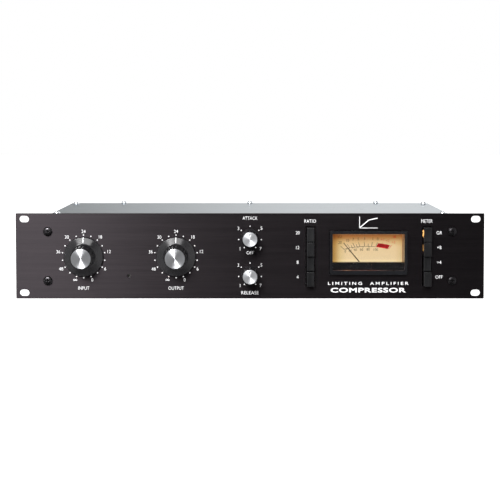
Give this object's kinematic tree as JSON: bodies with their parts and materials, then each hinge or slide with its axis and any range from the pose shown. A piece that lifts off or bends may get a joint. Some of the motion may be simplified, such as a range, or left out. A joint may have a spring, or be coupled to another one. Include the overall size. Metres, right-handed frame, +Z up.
{
  "type": "rack compressor",
  "caption": "Rack-mounting audio compressor: black panel with knobs, push-button banks and a lit needle meter on a flat steel chassis.",
  "frame": {"origin": "middle of the base of the whole unit's box, which is the front panel's lower edge", "axes": "+Z up, the front panel faces -Y, +X is to the right as seen from the front"},
  "size_m": [0.4826, 0.311, 0.0881],
  "materials": {
    "black_anodised": "black anodised, brushed along its length",
    "zinc_plate": "zinc-plated sheet, satin",
    "blackened_screw": "blackened steel, semi-gloss",
    "bright_screw": "bright zinc-plated steel",
    "knob_black": "moulded black, glossy",
    "spun_aluminium": "spun, with fine circular lines",
    "steel_shaft": "turned steel",
    "pot_can": "plated can",
    "button_black": "moulded black, satin",
    "switch_frame": "plated frame round moulded switches",
    "meter_black": "moulded black, satin",
    "dial_amber": "printed cream dial, lit amber",
    "needle_black": "painted black",
    "clear_window": "clear moulded window",
    "lamp_glass": "clear lamp",
    "board_green": "glass-fibre board, green solder mask",
    "core_steel": "varnished laminations",
    "connector_black": "moulded black",
    "connector_nickel": "nickel plate"
  },
  "bodies": {
    "frame": {"front_panel": "black_anodised", "front_subpanel": "zinc_plate", "chassis_tray": "zinc_plate", "rear_panel": "zinc_plate", "top_cover": "zinc_plate", "panel_screw_left_top": "blackened_screw", "panel_screw_left_bottom": "blackened_screw", "panel_screw_right_top": "blackened_screw", "panel_screw_right_bottom": "blackened_screw", "cover_screw_left_front": "bright_screw", "cover_screw_left_back": "bright_screw", "cover_screw_right_front": "bright_screw", "cover_screw_right_back": "bright_screw", "cover_screw_rear_left": "bright_screw", "cover_screw_rear_middle": "bright_screw", "cover_screw_rear_right": "bright_screw", "input_pot": "pot_can", "output_pot": "pot_can", "attack_pot": "pot_can", "release_pot": "pot_can", "ratio_switch_bank": "switch_frame", "meter_switch_bank": "switch_frame", "meter_case": "meter_black", "meter_dial": "dial_amber", "meter_window": "clear_window", "meter_lamp": "lamp_glass", "main_board": "board_green", "power_transformer": "core_steel", "output_transformer": "core_steel", "zero_trimmer": "connector_black", "mains_inlet": "connector_black", "terminal_strip": "connector_black", "link_jack": "connector_nickel", "input_socket": "connector_nickel", "output_socket": "connector_nickel"},
    "input_control": {"input_knob": "knob_black", "input_knob_cap": "spun_aluminium", "input_shaft": "steel_shaft"},
    "output_control": {"output_knob": "knob_black", "output_knob_cap": "spun_aluminium", "output_shaft": "steel_shaft"},
    "attack_control": {"attack_knob": "knob_black", "attack_knob_cap": "spun_aluminium", "attack_shaft": "steel_shaft"},
    "release_control": {"release_knob": "knob_black", "release_knob_cap": "spun_aluminium", "release_shaft": "steel_shaft"},
    "ratio_button_20": {"ratio_button_20": "button_black"},
    "ratio_button_12": {"ratio_button_12": "button_black"},
    "ratio_button_8": {"ratio_button_8": "button_black"},
    "ratio_button_4": {"ratio_button_4": "button_black"},
    "meter_button_gr": {"meter_button_gr": "button_black"},
    "meter_button_plus8": {"meter_button_plus8": "button_black"},
    "meter_button_plus4": {"meter_button_plus4": "button_black"},
    "meter_button_off": {"meter_button_off": "button_black"},
    "meter_needle": {"meter_needle": "needle_black"},
    "meter_zero_screw": {"meter_zero_screw": "meter_black"},
    "zero_trimmer_screw": {"zero_trimmer_screw": "connector_nickel"},
    "fuse_drawer": {"fuse_drawer": "connector_black"},
    "input_socket_latch": {"input_socket_latch": "connector_black"}
  },
  "joints": [
    {"name": "input_turn", "type": "hinge", "parent": "frame", "child": "input_control", "pos_m": [-0.17145, -0.1285, 0.04365], "axis": [0, 1, 0], "range_deg": [-160, 160]},
    {"name": "output_turn", "type": "hinge", "parent": "frame", "child": "output_control", "pos_m": [-0.0762, -0.1285, 0.04365], "axis": [0, 1, 0], "range_deg": [-160, 160]},
    {"name": "attack_turn", "type": "hinge", "parent": "frame", "child": "attack_control", "pos_m": [0, -0.1285, 0.0631], "axis": [0, 1, 0], "range_deg": [-180, 150]},
    {"name": "release_turn", "type": "hinge", "parent": "frame", "child": "release_control", "pos_m": [0, -0.1285, 0.025], "axis": [0, 1, 0], "range_deg": [-150, 150]},
    {"name": "ratio_button_20_push", "type": "slide", "parent": "frame", "child": "ratio_button_20", "axis": [0, 1, 0], "range_m": [0, 0.0045], "stiffness_N_per_m": 180, "springref_m": -0.002},
    {"name": "ratio_button_12_push", "type": "slide", "parent": "frame", "child": "ratio_button_12", "axis": [0, 1, 0], "range_m": [0, 0.0045], "stiffness_N_per_m": 180, "springref_m": -0.002},
    {"name": "ratio_button_8_push", "type": "slide", "parent": "frame", "child": "ratio_button_8", "axis": [0, 1, 0], "range_m": [-0.0035, 0]},
    {"name": "ratio_button_4_push", "type": "slide", "parent": "frame", "child": "ratio_button_4", "axis": [0, 1, 0], "range_m": [0, 0.0045], "stiffness_N_per_m": 180, "springref_m": -0.002},
    {"name": "meter_button_gr_push", "type": "slide", "parent": "frame", "child": "meter_button_gr", "axis": [0, 1, 0], "range_m": [0, 0.0045], "stiffness_N_per_m": 180, "springref_m": -0.002},
    {"name": "meter_button_plus8_push", "type": "slide", "parent": "frame", "child": "meter_button_plus8", "axis": [0, 1, 0], "range_m": [0, 0.0045], "stiffness_N_per_m": 180, "springref_m": -0.002},
    {"name": "meter_button_plus4_push", "type": "slide", "parent": "frame", "child": "meter_button_plus4", "axis": [0, 1, 0], "range_m": [-0.0035, 0]},
    {"name": "meter_button_off_push", "type": "slide", "parent": "frame", "child": "meter_button_off", "axis": [0, 1, 0], "range_m": [0, 0.0045], "stiffness_N_per_m": 180, "springref_m": -0.002},
    {"name": "needle_swing", "type": "hinge", "parent": "frame", "child": "meter_needle", "pos_m": [0.122, -0.1113, 0.02655], "axis": [0, 1, 0], "range_deg": [-3, 82], "stiffness_Nm_per_rad": 0.002},
    {"name": "meter_zero_turn", "type": "hinge", "parent": "frame", "child": "meter_zero_screw", "pos_m": [0.122, -0.1285, 0.03285], "axis": [0, 1, 0], "range_deg": [-45, 45]},
    {"name": "zero_trimmer_turn", "type": "hinge", "parent": "frame", "child": "zero_trimmer_screw", "pos_m": [-0.1247, -0.1285, 0.02375], "axis": [0, 1, 0], "range_deg": [-135, 135]},
    {"name": "fuse_drawer_slide", "type": "slide", "parent": "frame", "child": "fuse_drawer", "axis": [0, 1, 0], "range_m": [0, 0.016]},
    {"name": "input_socket_latch_push", "type": "slide", "parent": "frame", "child": "input_socket_latch", "axis": [0, -1, 0], "range_m": [0, 0.0025], "stiffness_N_per_m": 300, "springref_m": -0.001}
  ]
}
